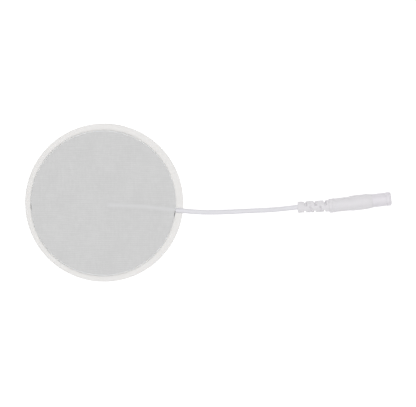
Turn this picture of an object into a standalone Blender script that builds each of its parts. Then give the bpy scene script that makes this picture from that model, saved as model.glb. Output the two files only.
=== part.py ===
"""Round TENS electrode pad, 50 mm across, with its lead and the plug for a 2 mm pin.

The pad lies on its foam back with the skin face up. A black carbon film is bonded to the
foam, a sheet of hydrogel lies on the film, and a woven scrim holds the gel's face. The lead
is pressed into the foam under the film, which folds up over it, and its bare strands fan out
there. Outside the pad the lead rests on the table and runs into a moulded plug, whose slotted
strain relief bends with it. The plug holds a slit metal socket in a hard sleeve.

Metres, +Z up. The origin is the middle of the foam's underside and the lead leaves along +X.
"""

import math

import bmesh
import bpy
from mathutils import Matrix, Vector

MM = 0.001
OBJECT_NAME = "tens_electrode_pad"

# Foam backing
BACKING_DIAMETER = 50.0 * MM
FOAM_THICKNESS = 1.6 * MM
FOAM_TOP_ROUND = 0.45 * MM
FOAM_FOOT_ROUND = 0.15 * MM

# Layers bonded on the foam, laid a little off its middle by hand
RING_WIDTH = 2.0 * MM
FACE_OFFSET = (-0.29 * MM, -0.15 * MM)
GLUE_LINE = 0.05 * MM
FILM_THICKNESS = 0.12 * MM
GEL_THICKNESS = 0.75 * MM
SCRIM_THICKNESS = 0.15 * MM

# Two short flats on the edge of the gel and its scrim, where the black film shows
FLAT_DEPTH = 0.15 * MM
FLAT_ANGLES = (math.radians(184.0), math.radians(-10.5))

# Fold of the layers over the lead
FILM_FOLD_HALF_WIDTH = 1.8 * MM
FACE_FOLD_HALF_WIDTH = 2.2 * MM
FACE_FOLD_HEIGHT = 0.35 * MM
FOLD_NOSE = 2.2 * MM
FOLD_STEPS = 4
FOLD_SPACING = 3.4 * MM

# Lead, and the middle of its route seen from above
LEAD_DIAMETER = 1.5 * MM
LEAD_SINK = 1.0 * MM
ROUTE_STEP = 3.0 * MM
ROUTE_UNDER_FILM = (
    (1.75, -0.73),
    (7.60, -1.00),
    (13.40, -1.30),
    (18.00, -1.86),
    (22.60, -2.40),
    (24.90, -2.58),
)
# Free stretch: x, y and how high the lead's underside is above the table
ROUTE_FREE = (
    (27.40, -2.79, 0.44),
    (29.90, -2.98, 0.24),
    (33.00, -3.07, 0.08),
    (37.50, -2.98, 0.02),
    (42.50, -2.78, 0.05),
    (47.60, -2.54, 0.24),
    (52.00, -2.32, 0.64),
    (55.60, -2.05, 1.10),
    (58.80, -1.70, 1.48),
)

# The lead's conductor, bare at both ends: twisted in the crimp, fanned out under the film
CONDUCTOR_DIAMETER = 0.62 * MM
STRAND_COUNT = 7
STRAND_DIAMETER = 0.15 * MM
STRAND_BUNDLE_LENGTH = 0.5 * MM
STRAND_LAP = 0.25 * MM
STRAND_RISE = 1.2 * MM
STRAND_LENGTH = 15.0 * MM
STRAND_SPREAD = 4.2 * MM
STRAND_BED_CLEARANCE = 0.25 * MM

# Gap between plug pieces that are pressed or moulded together
FIT_GAP = 0.05 * MM

# Strain relief, from its free end to the plug's body. By turns its slots open to the sides,
# down to a round spine on the lead, and to the faces, where they are shallower
RELIEF_START = (61.37 * MM, -1.46 * MM)
RELIEF_ANGLE = math.radians(2.45)
RELIEF_LENGTH = 9.75 * MM
RELIEF_END_DIAMETER = 3.54 * MM
RELIEF_BODY_DIAMETER = 3.72 * MM
RELIEF_EDGE_ROUND = 0.3 * MM
RELIEF_SEAT = 0.5 * MM
RELIEF_SPANS = 3

# Shallow ring groove near the relief's free end
END_GROOVE_PLACE = 1.3 * MM
END_GROOVE_WIDTH = 0.3 * MM
END_GROOVE_DEPTH = 0.07 * MM

# Slots of the relief, which lean a little round it. The moulding lies rolled about its axis
FIRST_RING = 1.98 * MM
SLOT_COUNT = 5
SLOT_WIDTH = 0.42 * MM
SLOT_FLARE = 0.07 * MM
SLOT_ROUND = 0.1 * MM
SIDE_SLOT_WEB = 1.6 * MM
SIDE_SLOT_LEAN = math.radians(9.0)
FACE_SLOT_FLOOR = 1.3 * MM
FACE_SLOT_REACH = 1.7 * MM
FACE_SLOT_SHIFT = 0.3 * MM
FACE_SLOT_LEAN = math.radians(18.0)
SPINE_DIAMETER = 2.4 * MM
MOULDING_ROLL = math.radians(20.0)

# Moulded body of the plug: two collar beads, a waist that widens to a grip, then a taper
BODY_ANGLE = math.radians(6.7)
COLLAR_DIAMETER = 4.46 * MM
COLLAR_FIRST_BEAD = 1.05 * MM
COLLAR_SECOND_BEAD = 0.7 * MM
COLLAR_GROOVE_DEPTH = 0.12 * MM
COLLAR_GROOVE_WIDTH = 0.2 * MM
COLLAR_EDGE_BREAK = 0.14 * MM
WAIST_DIAMETER = 4.32 * MM
WAIST_LENGTH = 4.3 * MM
RAMP_FOOT_DIAMETER = 4.42 * MM
GRIP_RAMP = 0.9 * MM
GRIP_DIAMETER = 4.8 * MM
GRIP_LENGTH = 4.9 * MM
GRIP_EDGE_DROP = 0.06 * MM
BODY_TAPER = 1.45 * MM
BODY_LIP_DIAMETER = 4.26 * MM
BODY_EDGE_ROUND = 0.22 * MM

# Hard sleeve in front of the moulded body
SLEEVE_DIAMETER = 4.22 * MM
SLEEVE_BARREL = 4.25 * MM
SLEEVE_GROOVE_WIDTH = 0.2 * MM
SLEEVE_GROOVE_DEPTH = 0.05 * MM
SLEEVE_BEAD_DIAMETER = 4.34 * MM
SLEEVE_BEAD = 1.6 * MM
SLEEVE_NOSE_ROUND = 0.7 * MM
SLEEVE_TAIL = 4.8 * MM
SLEEVE_TAIL_WALL = 0.35 * MM
MOUTH_CLEARANCE = 0.12 * MM
MOUTH_CHAMFER = 0.3 * MM
MOUTH_DEPTH = 1.1 * MM

# Metal socket for a 2 mm pin
SOCKET_BORE = 2.06 * MM
SOCKET_WALL = 0.32 * MM
SOCKET_FLOOR = 0.6 * MM
SOCKET_LEAD_IN = 0.13 * MM
SOCKET_LEAD_IN_DEPTH = 0.32 * MM
SOCKET_EDGE_BREAK = 0.08 * MM
SOCKET_SLIT_WIDTH = 0.25 * MM
SOCKET_SLIT_LENGTH = 6.0 * MM
CRIMP_WALL = 0.42 * MM
CRIMP_CLEARANCE = 0.07 * MM
CRIMP_LENGTH = 4.2 * MM
CRIMP_BORE_DEPTH = 3.3 * MM
JACKET_IN_BODY = 1.95 * MM

# Number of sides round each turned piece, and points on a rounded edge
PAD_SIDES = 120
PLUG_SIDES = 40
SOCKET_SIDES = 24
ROUND_STEPS = 3
FOOT_STEPS = 2
NOSE_STEPS = 5

# Steps of a tube's round section: this many extra points in each half of it
LEAD_STEPS = 2
STRAND_STEPS = 1
CHANNEL_STEPS = 6

# Size at which the plug's guide frames are drawn
GUIDE_SIZE = 2 * MM

# Points nearer than this are one point
MERGE_DISTANCE = 0.001 * MM

# Angles in degrees: a slot's edges sharper than the first are rounded, and faces that meet at
# less than the second are shaded smooth
SLOT_ROUND_FROM = 40.0
SMOOTH_UP_TO = 35.0

# Sizes that follow from those above
BACKING_RADIUS = BACKING_DIAMETER / 2
FACE_RADIUS = BACKING_RADIUS - RING_WIDTH
LEAD_RADIUS = LEAD_DIAMETER / 2
CHANNEL_RADIUS = LEAD_RADIUS + FIT_GAP
LEAD_BED_Z = FOAM_THICKNESS - LEAD_SINK + LEAD_RADIUS
LEAD_PROUD = LEAD_DIAMETER - LEAD_SINK
FILM_Z = FOAM_THICKNESS + GLUE_LINE
GEL_Z = FILM_Z + FILM_THICKNESS + GLUE_LINE
STRAND_Z = FOAM_THICKNESS - STRAND_DIAMETER / 2
SECOND_BEAD_START = COLLAR_FIRST_BEAD + COLLAR_GROOVE_WIDTH
COLLAR_END = SECOND_BEAD_START + COLLAR_SECOND_BEAD
WAIST_START = COLLAR_END + COLLAR_GROOVE_WIDTH
RAMP_START = WAIST_START + WAIST_LENGTH
GRIP_START = RAMP_START + GRIP_RAMP
GRIP_END = GRIP_START + GRIP_LENGTH
BODY_FRONT = GRIP_END + BODY_TAPER
SLEEVE_BACK = BODY_FRONT + FIT_GAP
SLEEVE_FRONT = SLEEVE_BACK + SLEEVE_BARREL + SLEEVE_GROOVE_WIDTH + SLEEVE_BEAD
SLEEVE_TAIL_END = BODY_FRONT - SLEEVE_TAIL
SOCKET_RADIUS = SOCKET_BORE / 2 + SOCKET_WALL
SLEEVE_BORE_RADIUS = SOCKET_RADIUS + FIT_GAP
SLEEVE_TAIL_RADIUS = SLEEVE_BORE_RADIUS + SLEEVE_TAIL_WALL
MOUTH_RADIUS = SOCKET_BORE / 2 + MOUTH_CLEARANCE
CRIMP_BORE_RADIUS = CONDUCTOR_DIAMETER / 2 + CRIMP_CLEARANCE
CRIMP_RADIUS = CRIMP_BORE_RADIUS + CRIMP_WALL
SOCKET_FRONT = SLEEVE_FRONT - MOUTH_DEPTH - FIT_GAP
CRIMP_END = SLEEVE_TAIL_END - CRIMP_LENGTH
PLUG_AXIS_Z = GRIP_DIAMETER / 2


# Collections and materials


def make_collection(name):
    collection = bpy.data.collections.new(name)
    bpy.context.scene.collection.children.link(collection)
    return collection


def make_material(name, colour, roughness, metallic=0.0, transmission=0.0):
    """A Principled material in the piece's own colour, given as linear red, green and blue."""
    material = bpy.data.materials.new(name)
    material.use_nodes = True
    shader = material.node_tree.nodes["Principled BSDF"]
    shader.inputs["Base Color"].default_value = (*colour, 1.0)
    shader.inputs["Roughness"].default_value = roughness
    shader.inputs["Metallic"].default_value = metallic
    shader.inputs["Transmission Weight"].default_value = transmission
    material.diffuse_color = (*colour, 1.0)
    return material


def add_piece(name, data, material, parent=None):
    piece = bpy.data.objects.new(name, data)
    piece.data.materials.append(material)
    piece.parent = parent
    bpy.data.collections[OBJECT_NAME].objects.link(piece)
    return piece


def add_helper(name, data, parent=None):
    """A cutter, or a solid that is joined to a piece, which is no piece itself."""
    helper = bpy.data.objects.new(name, data)
    helper.parent = parent
    helper.hide_render = True
    helper.display_type = "WIRE"
    bpy.data.collections["cutters"].objects.link(helper)
    return helper


def add_frame(name, place, angle):
    """An empty whose +Z runs along the plug and whose +X points down at the table."""
    frame = bpy.data.objects.new(name, None)
    frame.empty_display_size = GUIDE_SIZE
    frame.location = place
    frame.rotation_euler = (0.0, math.pi / 2, angle)
    bpy.data.collections["cutters"].objects.link(frame)
    return frame


# Shapes


def arc(centre_radius, centre_height, radius, start, end, steps=ROUND_STEPS):
    """Points of a rounded corner in a turned profile, from one angle to the other in degrees."""
    points = []
    for step in range(steps + 1):
        angle = math.radians(start + (end - start) * step / steps)
        points.append(
            (
                centre_radius + radius * math.cos(angle),
                centre_height + radius * math.sin(angle),
            )
        )
    return points


def turned_mesh(name, profile, closed=False):
    """The profile's points, at (radius, height), joined by edges and ready for a Screw."""
    mesh = bpy.data.meshes.new(name)
    points = [(radius, 0.0, height) for radius, height in profile]
    edges = [(i, i + 1) for i in range(len(points) - 1)]
    if closed:
        edges.append((len(points) - 1, 0))
    mesh.from_pydata(points, edges, [])
    return mesh


def turn(piece, sides):
    screw = piece.modifiers.new("Turn", "SCREW")
    screw.axis = "Z"
    screw.steps = sides
    screw.render_steps = sides
    screw.use_merge_vertices = True
    screw.merge_threshold = MERGE_DISTANCE
    screw.use_smooth_shade = True


def boolean(piece, other, operation):
    modifier = piece.modifiers.new(f"{operation.title()} {other.name}", "BOOLEAN")
    modifier.operation = operation
    modifier.solver = "EXACT"
    modifier.object = other


def shade_round(mesh):
    mesh.shade_smooth()
    mesh.set_sharp_from_angle(angle=math.radians(SMOOTH_UP_TO))


def tube_curve(name, points, radius, steps=LEAD_STEPS):
    curve = bpy.data.curves.new(name, "CURVE")
    curve.dimensions = "3D"
    curve.bevel_depth = radius
    curve.bevel_resolution = steps
    curve.use_fill_caps = True
    spline = curve.splines.new("POLY")
    spline.points.add(len(points) - 1)
    for knot, place in zip(spline.points, points):
        knot.co = (*place, 1.0)
    return curve


def tube_mesh(name, points, radius, steps=LEAD_STEPS):
    """A tube as a closed mesh, for cutting or joining."""
    carrier = bpy.data.objects.new(name, tube_curve(name, points, radius, steps))
    bpy.context.scene.collection.objects.link(carrier)
    graph = bpy.context.evaluated_depsgraph_get()
    mesh = bpy.data.meshes.new_from_object(carrier.evaluated_get(graph))
    bpy.data.objects.remove(carrier)
    bm = bmesh.new()
    bm.from_mesh(mesh)
    bmesh.ops.remove_doubles(bm, verts=bm.verts, dist=MERGE_DISTANCE)
    bmesh.ops.recalc_face_normals(bm, faces=bm.faces)
    bm.to_mesh(mesh)
    bm.free()
    return mesh


def box_mesh(name, size, middle):
    bm = bmesh.new()
    bmesh.ops.create_cube(bm, size=1.0)
    bmesh.ops.scale(bm, vec=size, verts=bm.verts)
    bmesh.ops.translate(bm, vec=middle, verts=bm.verts)
    mesh = bpy.data.meshes.new(name)
    bm.to_mesh(mesh)
    bm.free()
    return mesh


# Route of the lead


def along(angle):
    return Vector((math.cos(angle), math.sin(angle), 0.0))


def relief_start():
    return Vector((*RELIEF_START, PLUG_AXIS_Z))


def body_start():
    return relief_start() + RELIEF_LENGTH * along(RELIEF_ANGLE)


def route_points():
    """The places that the lead's middle passes through, from its end under the film."""
    places = [Vector((x * MM, y * MM, LEAD_BED_Z)) for x, y in ROUTE_UNDER_FILM]
    for x, y, lift in ROUTE_FREE:
        places.append(Vector((x * MM, y * MM, lift * MM + LEAD_RADIUS)))
    for step in range(RELIEF_SPANS + 1):
        reach = RELIEF_LENGTH * step / RELIEF_SPANS
        places.append(relief_start() + reach * along(RELIEF_ANGLE))
    places.append(body_start() + JACKET_IN_BODY * along(BODY_ANGLE))
    return places


def smooth_route(places, step):
    """Points about one step apart on a smooth curve through the places."""
    spans = [(b - a).length for a, b in zip(places, places[1:])]
    slopes = [(places[1] - places[0]) / spans[0]]
    for i in range(1, len(places) - 1):
        slopes.append((places[i + 1] - places[i - 1]) / (spans[i - 1] + spans[i]))
    slopes.append((places[-1] - places[-2]) / spans[-1])
    points = [places[0]]
    for i, span in enumerate(spans):
        parts = max(1, round(span / step))
        for part in range(1, parts + 1):
            t = part / parts
            points.append(
                (2 * t**3 - 3 * t**2 + 1) * places[i]
                + (t**3 - 2 * t**2 + t) * span * slopes[i]
                + (3 * t**2 - 2 * t**3) * places[i + 1]
                + (t**3 - t**2) * span * slopes[i + 1]
            )
    return points


def lead_points():
    return smooth_route(route_points(), ROUTE_STEP)


def stretched(points, back, ahead):
    """The same points with both ends carried on straight."""
    first = points[0] + (points[0] - points[1]).normalized() * back
    last = points[-1] + (points[-1] - points[-2]).normalized() * ahead
    return [first, *points[1:-1], last]


# Pad


def lead_side(x, points):
    """Where the lead's middle lies across the pad at this x."""
    if x <= points[0].x:
        return points[0].y
    for before, after in zip(points, points[1:]):
        if x <= after.x:
            share = (x - before.x) / (after.x - before.x)
            return before.y + share * (after.y - before.y)
    return points[-1].y


def fold(x, y, height, half_width, points):
    """Height of the fold over the lead, which rises from a nose in front of the lead's end."""
    across = abs(y - lead_side(x, points)) / half_width
    if across >= 1.0:
        return 0.0
    rise = min(max((x - (points[0].x - FOLD_NOSE)) / FOLD_NOSE, 0.0), 1.0)
    rise = rise * rise * (3 - 2 * rise)
    return height * rise * (1 + math.cos(math.pi * across)) / 2


def film_under(x, y, points):
    return FILM_Z + fold(x, y, LEAD_PROUD, FILM_FOLD_HALF_WIDTH, points)


def film_over(x, y, points):
    return film_under(x, y, points) + FILM_THICKNESS


def gel_under(x, y, points):
    return film_over(x, y, points) + GLUE_LINE


def gel_over(x, y, points):
    lift = fold(x, y, FACE_FOLD_HEIGHT, FACE_FOLD_HALF_WIDTH, points)
    return GEL_Z + GEL_THICKNESS + lift


def scrim_under(x, y, points):
    return gel_over(x, y, points) + GLUE_LINE


def scrim_over(x, y, points):
    return scrim_under(x, y, points) + SCRIM_THICKNESS


def layer_outline(bm, flats):
    """A flat disc, laid off the foam's middle, less a thin slice at each flat."""
    bmesh.ops.create_circle(bm, cap_ends=True, segments=PAD_SIDES, radius=FACE_RADIUS)
    bmesh.ops.translate(bm, vec=(*FACE_OFFSET, 0.0), verts=bm.verts)
    for angle in flats:
        outward = along(angle)
        edge = Vector((*FACE_OFFSET, 0.0)) + (FACE_RADIUS - FLAT_DEPTH) * outward
        bmesh.ops.bisect_plane(
            bm,
            geom=bm.verts[:] + bm.edges[:] + bm.faces[:],
            plane_co=edge,
            plane_no=outward,
            clear_outer=True,
            dist=MERGE_DISTANCE,
        )


def cut_fold_lines(bm, points):
    """Divides the disc in lines along the lead, and across them where the fold rises."""
    for vert in bm.verts:
        vert.co.y -= lead_side(vert.co.x, points)
    widths = [FILM_FOLD_HALF_WIDTH * i / FOLD_STEPS for i in range(FOLD_STEPS + 1)]
    widths.append(FACE_FOLD_HALF_WIDTH)
    for offset in sorted({side * width for width in widths for side in (-1, 1)}):
        bmesh.ops.bisect_plane(
            bm,
            geom=bm.verts[:] + bm.edges[:] + bm.faces[:],
            plane_co=(0.0, offset, 0.0),
            plane_no=(0.0, 1.0, 0.0),
            dist=MERGE_DISTANCE,
        )
    nose = points[0].x - FOLD_NOSE
    crossings = [nose + FOLD_NOSE * i / FOLD_STEPS for i in range(FOLD_STEPS + 1)]
    while crossings[-1] + FOLD_SPACING < FACE_OFFSET[0] + FACE_RADIUS:
        crossings.append(crossings[-1] + FOLD_SPACING)
    for x in crossings:
        strips = [
            face
            for face in bm.faces
            if abs(face.calc_center_median().y) < FACE_FOLD_HALF_WIDTH
        ]
        edges = {edge for face in strips for edge in face.edges}
        verts = {vert for face in strips for vert in face.verts}
        bmesh.ops.bisect_plane(
            bm,
            geom=[*verts, *edges, *strips],
            plane_co=(x, 0.0, 0.0),
            plane_no=(1.0, 0.0, 0.0),
            dist=MERGE_DISTANCE,
        )
    for vert in bm.verts:
        vert.co.y += lead_side(vert.co.x, points)


def layer_mesh(name, flats, under, over):
    """One bonded layer between two heights, folded up over the lead."""
    points = lead_points()
    bm = bmesh.new()
    layer_outline(bm, flats)
    cut_fold_lines(bm, points)
    made = bmesh.ops.extrude_face_region(bm, geom=bm.faces[:])
    top = {item for item in made["geom"] if isinstance(item, bmesh.types.BMVert)}
    for vert in bm.verts:
        height = over if vert in top else under
        vert.co.z = height(vert.co.x, vert.co.y, points)
    bmesh.ops.recalc_face_normals(bm, faces=bm.faces)
    mesh = bpy.data.meshes.new(name)
    bm.to_mesh(mesh)
    bm.free()
    shade_round(mesh)
    return mesh


def foam_profile():
    """Upper face, softened rim, side and foot of the foam disc."""
    rim = BACKING_RADIUS - FOAM_TOP_ROUND
    foot = BACKING_RADIUS - FOAM_FOOT_ROUND
    profile = [(0.0, FOAM_THICKNESS)]
    profile += arc(rim, FOAM_THICKNESS - FOAM_TOP_ROUND, FOAM_TOP_ROUND, 90, 0)
    profile += arc(foot, FOAM_FOOT_ROUND, FOAM_FOOT_ROUND, 0, -90, FOOT_STEPS)
    profile.append((0.0, 0.0))
    return profile


def strand_bed_mesh(name):
    """A shallow wedge pressed into the foam under the fanned strands."""
    end = lead_points()[0]
    near = CONDUCTOR_DIAMETER + 2 * STRAND_BED_CLEARANCE
    far = 2 * (STRAND_SPREAD + STRAND_BED_CLEARANCE)
    length = STRAND_LENGTH + STRAND_BED_CLEARANCE
    height = 2 * (STRAND_DIAMETER + FIT_GAP)
    mesh = box_mesh(name, (length, far, height), (end.x - length / 2, end.y, FOAM_THICKNESS))
    for vert in mesh.vertices:
        if vert.co.x > end.x - length / 2:
            vert.co.y = end.y + math.copysign(near / 2, vert.co.y - end.y)
    return mesh


def make_backing(material, channel):
    backing = add_piece("foam_backing", turned_mesh("foam_backing", foam_profile()), material)
    turn(backing, PAD_SIDES)
    boolean(backing, channel, "DIFFERENCE")
    bed = add_helper("strand_bed", strand_bed_mesh("strand_bed"))
    boolean(backing, bed, "DIFFERENCE")
    return backing


def make_layers(film, gel, scrim):
    add_piece("carbon_film", layer_mesh("carbon_film", (), film_under, film_over), film)
    add_piece("hydrogel", layer_mesh("hydrogel", FLAT_ANGLES, gel_under, gel_over), gel)
    add_piece("gel_scrim", layer_mesh("gel_scrim", FLAT_ANGLES, scrim_under, scrim_over), scrim)


# Lead and its conductor


def make_lead(material):
    return add_piece("lead_wire", tube_curve("lead_wire", lead_points(), LEAD_RADIUS), material)


def strand_points(root, share):
    """One strand: out of the bundle, up to the foam's face, then out to its place in the fan."""
    packed = share * (CONDUCTOR_DIAMETER / 2 - STRAND_DIAMETER)
    bundle_end = root.x - STRAND_BUNDLE_LENGTH
    return [
        Vector((bundle_end + STRAND_LAP, root.y + packed, root.z)),
        Vector((bundle_end - FIT_GAP, root.y + packed, root.z)),
        Vector((bundle_end - STRAND_RISE, root.y + share * CONDUCTOR_DIAMETER, STRAND_Z)),
        Vector((root.x - STRAND_LENGTH, root.y + share * STRAND_SPREAD, STRAND_Z)),
    ]


def make_strands(material):
    """Bare strands fanned out under the film, joined where they are twisted together."""
    first, second = lead_points()[:2]
    root = first - (second - first).normalized() * FIT_GAP
    end = root + Vector((-STRAND_BUNDLE_LENGTH, 0.0, 0.0))
    bundle = tube_mesh("conductor_fan", [root, end], CONDUCTOR_DIAMETER / 2)
    fan = add_piece("conductor_fan", bundle, material)
    for number in range(STRAND_COUNT):
        share = 2 * number / (STRAND_COUNT - 1) - 1
        name = f"strand_{number + 1}"
        points = strand_points(root, share)
        shape = tube_mesh(name, points, STRAND_DIAMETER / 2, STRAND_STEPS)
        boolean(fan, add_helper(name, shape), "UNION")
    return fan


# Plug, along its own axis


def relief_profile():
    """Plain tapered relief, from its seat in the plug's body down to the rounded free end."""
    seat = RELIEF_LENGTH + RELIEF_SEAT
    body = RELIEF_BODY_DIAMETER / 2
    free = RELIEF_END_DIAMETER / 2
    edge = RELIEF_EDGE_ROUND
    groove_start = END_GROOVE_PLACE - END_GROOVE_WIDTH / 2
    profile = [(0.0, seat), (body, seat), (body, RELIEF_LENGTH)]
    profile += [(free, groove_start + END_GROOVE_WIDTH)]
    profile += [(free - END_GROOVE_DEPTH, END_GROOVE_PLACE), (free, groove_start)]
    profile += arc(free - edge, edge, edge, 0, -90)
    profile.append((0.0, 0.0))
    return profile


def slot_places():
    """Middle of each slot along the relief, and whether it opens to the faces."""
    pitch = (RELIEF_LENGTH - FIRST_RING) / SLOT_COUNT
    first = FIRST_RING + SLOT_WIDTH / 2
    places = []
    for number in range(SLOT_COUNT):
        to_faces = number % 2 == 1
        shift = FACE_SLOT_SHIFT if to_faces else 0.0
        places.append((first + pitch * number + shift, to_faces))
    return places


def slots_mesh(name):
    """Every slot as a pair of blocks on opposite sides of the relief, wider at the surface.

    A side slot stops at its web and a face slot at its floor. Both lean the same way round.
    """
    bm = bmesh.new()
    surface = RELIEF_BODY_DIAMETER / 2
    for place, to_faces in slot_places():
        inner = FACE_SLOT_FLOOR if to_faces else SIDE_SLOT_WEB / 2
        lean = FACE_SLOT_LEAN if to_faces else SIDE_SLOT_LEAN
        across = FACE_SLOT_REACH if to_faces else 2 * RELIEF_BODY_DIAMETER
        turned = MOULDING_ROLL + (math.pi / 2 if to_faces else 0.0)
        for side in (-1, 1):
            block = bmesh.ops.create_cube(bm, size=1.0)["verts"]
            size = (across, 2 * (surface - inner), SLOT_WIDTH)
            bmesh.ops.scale(bm, vec=size, verts=block)
            for vert in block:
                if vert.co.y * side > 0:
                    vert.co.z += math.copysign(2 * SLOT_FLARE, vert.co.z)
            lean_matrix = Matrix.Rotation(side * lean, 3, "Y")
            bmesh.ops.rotate(bm, cent=(0.0, 0.0, 0.0), matrix=lean_matrix, verts=block)
            bmesh.ops.translate(bm, vec=(0.0, side * surface, place), verts=block)
            turn_matrix = Matrix.Rotation(turned, 3, "Z")
            bmesh.ops.rotate(bm, cent=(0.0, 0.0, 0.0), matrix=turn_matrix, verts=block)
    mesh = bpy.data.meshes.new(name)
    bm.to_mesh(mesh)
    bm.free()
    return mesh


def spine_profile():
    """Round spine on the lead, which the slots are cut down to."""
    start = RELIEF_EDGE_ROUND
    end = RELIEF_LENGTH + RELIEF_SEAT / 2
    radius = SPINE_DIAMETER / 2
    return [(0.0, end), (radius, end), (radius, start), (0.0, start)]


def body_profile():
    """Stepped bore from the crimp's end out to the front, then the outside back to the relief."""
    lip = BODY_LIP_DIAMETER / 2
    grip = GRIP_DIAMETER / 2
    collar = COLLAR_DIAMETER / 2
    core = CONDUCTOR_DIAMETER / 2 + FIT_GAP
    crimp = CRIMP_RADIUS + FIT_GAP
    tail = SLEEVE_TAIL_RADIUS + FIT_GAP
    floor = SLEEVE_TAIL_END - FIT_GAP
    edge = BODY_EDGE_ROUND
    groove = collar - COLLAR_GROOVE_DEPTH
    profile = [(0.0, JACKET_IN_BODY), (core, JACKET_IN_BODY)]
    profile += [(core, CRIMP_END - FIT_GAP), (crimp, CRIMP_END - FIT_GAP)]
    profile += [(crimp, floor), (tail, floor), (tail, BODY_FRONT)]
    profile += [(lip, BODY_FRONT), (grip - GRIP_EDGE_DROP, GRIP_END + edge)]
    profile += [(grip, GRIP_END - edge), (grip, GRIP_START)]
    profile += [(grip - GRIP_EDGE_DROP, GRIP_START - edge)]
    profile += [(RAMP_FOOT_DIAMETER / 2, RAMP_START), (WAIST_DIAMETER / 2, WAIST_START)]
    for start, end in ((SECOND_BEAD_START, COLLAR_END), (0.0, COLLAR_FIRST_BEAD)):
        profile += [(groove, end), (collar, end - COLLAR_EDGE_BREAK)]
        if start > 0.0:
            profile += [(collar, start + COLLAR_EDGE_BREAK), (groove, start)]
    profile += arc(collar - edge, edge, edge, 0, -90)
    profile.append((0.0, 0.0))
    return profile


def sleeve_profile():
    """Closed section of the sleeve: bore, mouth, nose, bead, barrel and tail."""
    bore = SLEEVE_BORE_RADIUS
    mouth = MOUTH_RADIUS
    bead = SLEEVE_BEAD_DIAMETER / 2
    barrel = SLEEVE_DIAMETER / 2
    groove = barrel - SLEEVE_GROOVE_DEPTH
    tail = SLEEVE_TAIL_RADIUS
    bead_back = SLEEVE_FRONT - SLEEVE_BEAD
    barrel_end = bead_back - SLEEVE_GROOVE_WIDTH
    lip = SLEEVE_FRONT - MOUTH_DEPTH
    profile = [(bore, SLEEVE_TAIL_END), (bore, lip), (mouth, lip)]
    profile += [(mouth, SLEEVE_FRONT - MOUTH_CHAMFER), (mouth + MOUTH_CHAMFER, SLEEVE_FRONT)]
    nose = SLEEVE_NOSE_ROUND
    profile += arc(bead - nose, SLEEVE_FRONT - nose, nose, 90, 0, NOSE_STEPS)
    profile += [(bead, bead_back + SLEEVE_GROOVE_DEPTH), (groove, bead_back)]
    profile += [(groove, barrel_end), (barrel, barrel_end - SLEEVE_GROOVE_DEPTH)]
    profile += [(barrel, SLEEVE_BACK), (tail, SLEEVE_BACK), (tail, SLEEVE_TAIL_END)]
    return profile


def socket_profile():
    """Closed section of the socket: crimp barrel, floor and the sprung tube round the pin."""
    pin = SOCKET_BORE / 2
    crimp = CRIMP_RADIUS
    wire = CRIMP_BORE_RADIUS
    wire_end = CRIMP_END + CRIMP_BORE_DEPTH
    profile = [(0.0, SLEEVE_TAIL_END + SOCKET_FLOOR), (pin, SLEEVE_TAIL_END + SOCKET_FLOOR)]
    profile += [(pin, SOCKET_FRONT - SOCKET_LEAD_IN_DEPTH)]
    profile += [(pin + SOCKET_LEAD_IN, SOCKET_FRONT)]
    profile += [(SOCKET_RADIUS - SOCKET_EDGE_BREAK, SOCKET_FRONT)]
    profile += [(SOCKET_RADIUS, SOCKET_FRONT - SOCKET_EDGE_BREAK)]
    profile += [(SOCKET_RADIUS, SLEEVE_TAIL_END), (crimp, SLEEVE_TAIL_END)]
    profile += [(crimp, CRIMP_END), (wire, CRIMP_END), (wire, wire_end), (0.0, wire_end)]
    return profile


def make_overmould(material, body_frame, relief_frame, channel):
    mesh = turned_mesh("plug_overmould", body_profile())
    overmould = add_piece("plug_overmould", mesh, material, body_frame)
    turn(overmould, PLUG_SIDES)
    relief = add_helper("relief", turned_mesh("relief", relief_profile()), relief_frame)
    turn(relief, PLUG_SIDES)
    slots = add_helper("relief_slots", slots_mesh("relief_slots"), relief_frame)
    boolean(relief, slots, "DIFFERENCE")
    bevel = relief.modifiers.new("Slot edges", "BEVEL")
    bevel.width = SLOT_ROUND
    bevel.segments = 2
    bevel.limit_method = "ANGLE"
    bevel.angle_limit = math.radians(SLOT_ROUND_FROM)
    spine = add_helper("relief_spine", turned_mesh("relief_spine", spine_profile()), relief_frame)
    turn(spine, PLUG_SIDES)
    boolean(relief, spine, "UNION")
    boolean(overmould, relief, "UNION")
    boolean(overmould, channel, "DIFFERENCE")
    return overmould


def make_sleeve(material, body_frame):
    mesh = turned_mesh("plug_insulator", sleeve_profile(), closed=True)
    sleeve = add_piece("plug_insulator", mesh, material, body_frame)
    turn(sleeve, PLUG_SIDES)
    return sleeve


def make_socket(material, body_frame):
    mesh = turned_mesh("socket_contact", socket_profile())
    socket = add_piece("socket_contact", mesh, material, body_frame)
    turn(socket, SOCKET_SIDES)
    size = (3 * SOCKET_RADIUS, SOCKET_SLIT_WIDTH, SOCKET_SLIT_LENGTH)
    middle = (0.0, 0.0, SOCKET_FRONT - SOCKET_SLIT_LENGTH / 2 + FIT_GAP)
    slit = add_helper("socket_slit", box_mesh("socket_slit", size, middle), body_frame)
    boolean(socket, slit, "DIFFERENCE")
    return socket


def make_conductor_tail(material, body_frame):
    """The lead's bare end, from the jacket into the crimp."""
    start = JACKET_IN_BODY + FIT_GAP
    end = CRIMP_END + CRIMP_BORE_DEPTH - FIT_GAP
    points = [Vector((0.0, 0.0, start)), Vector((0.0, 0.0, end))]
    mesh = tube_mesh("conductor_tail", points, CONDUCTOR_DIAMETER / 2)
    return add_piece("conductor_tail", mesh, material, body_frame)


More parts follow.
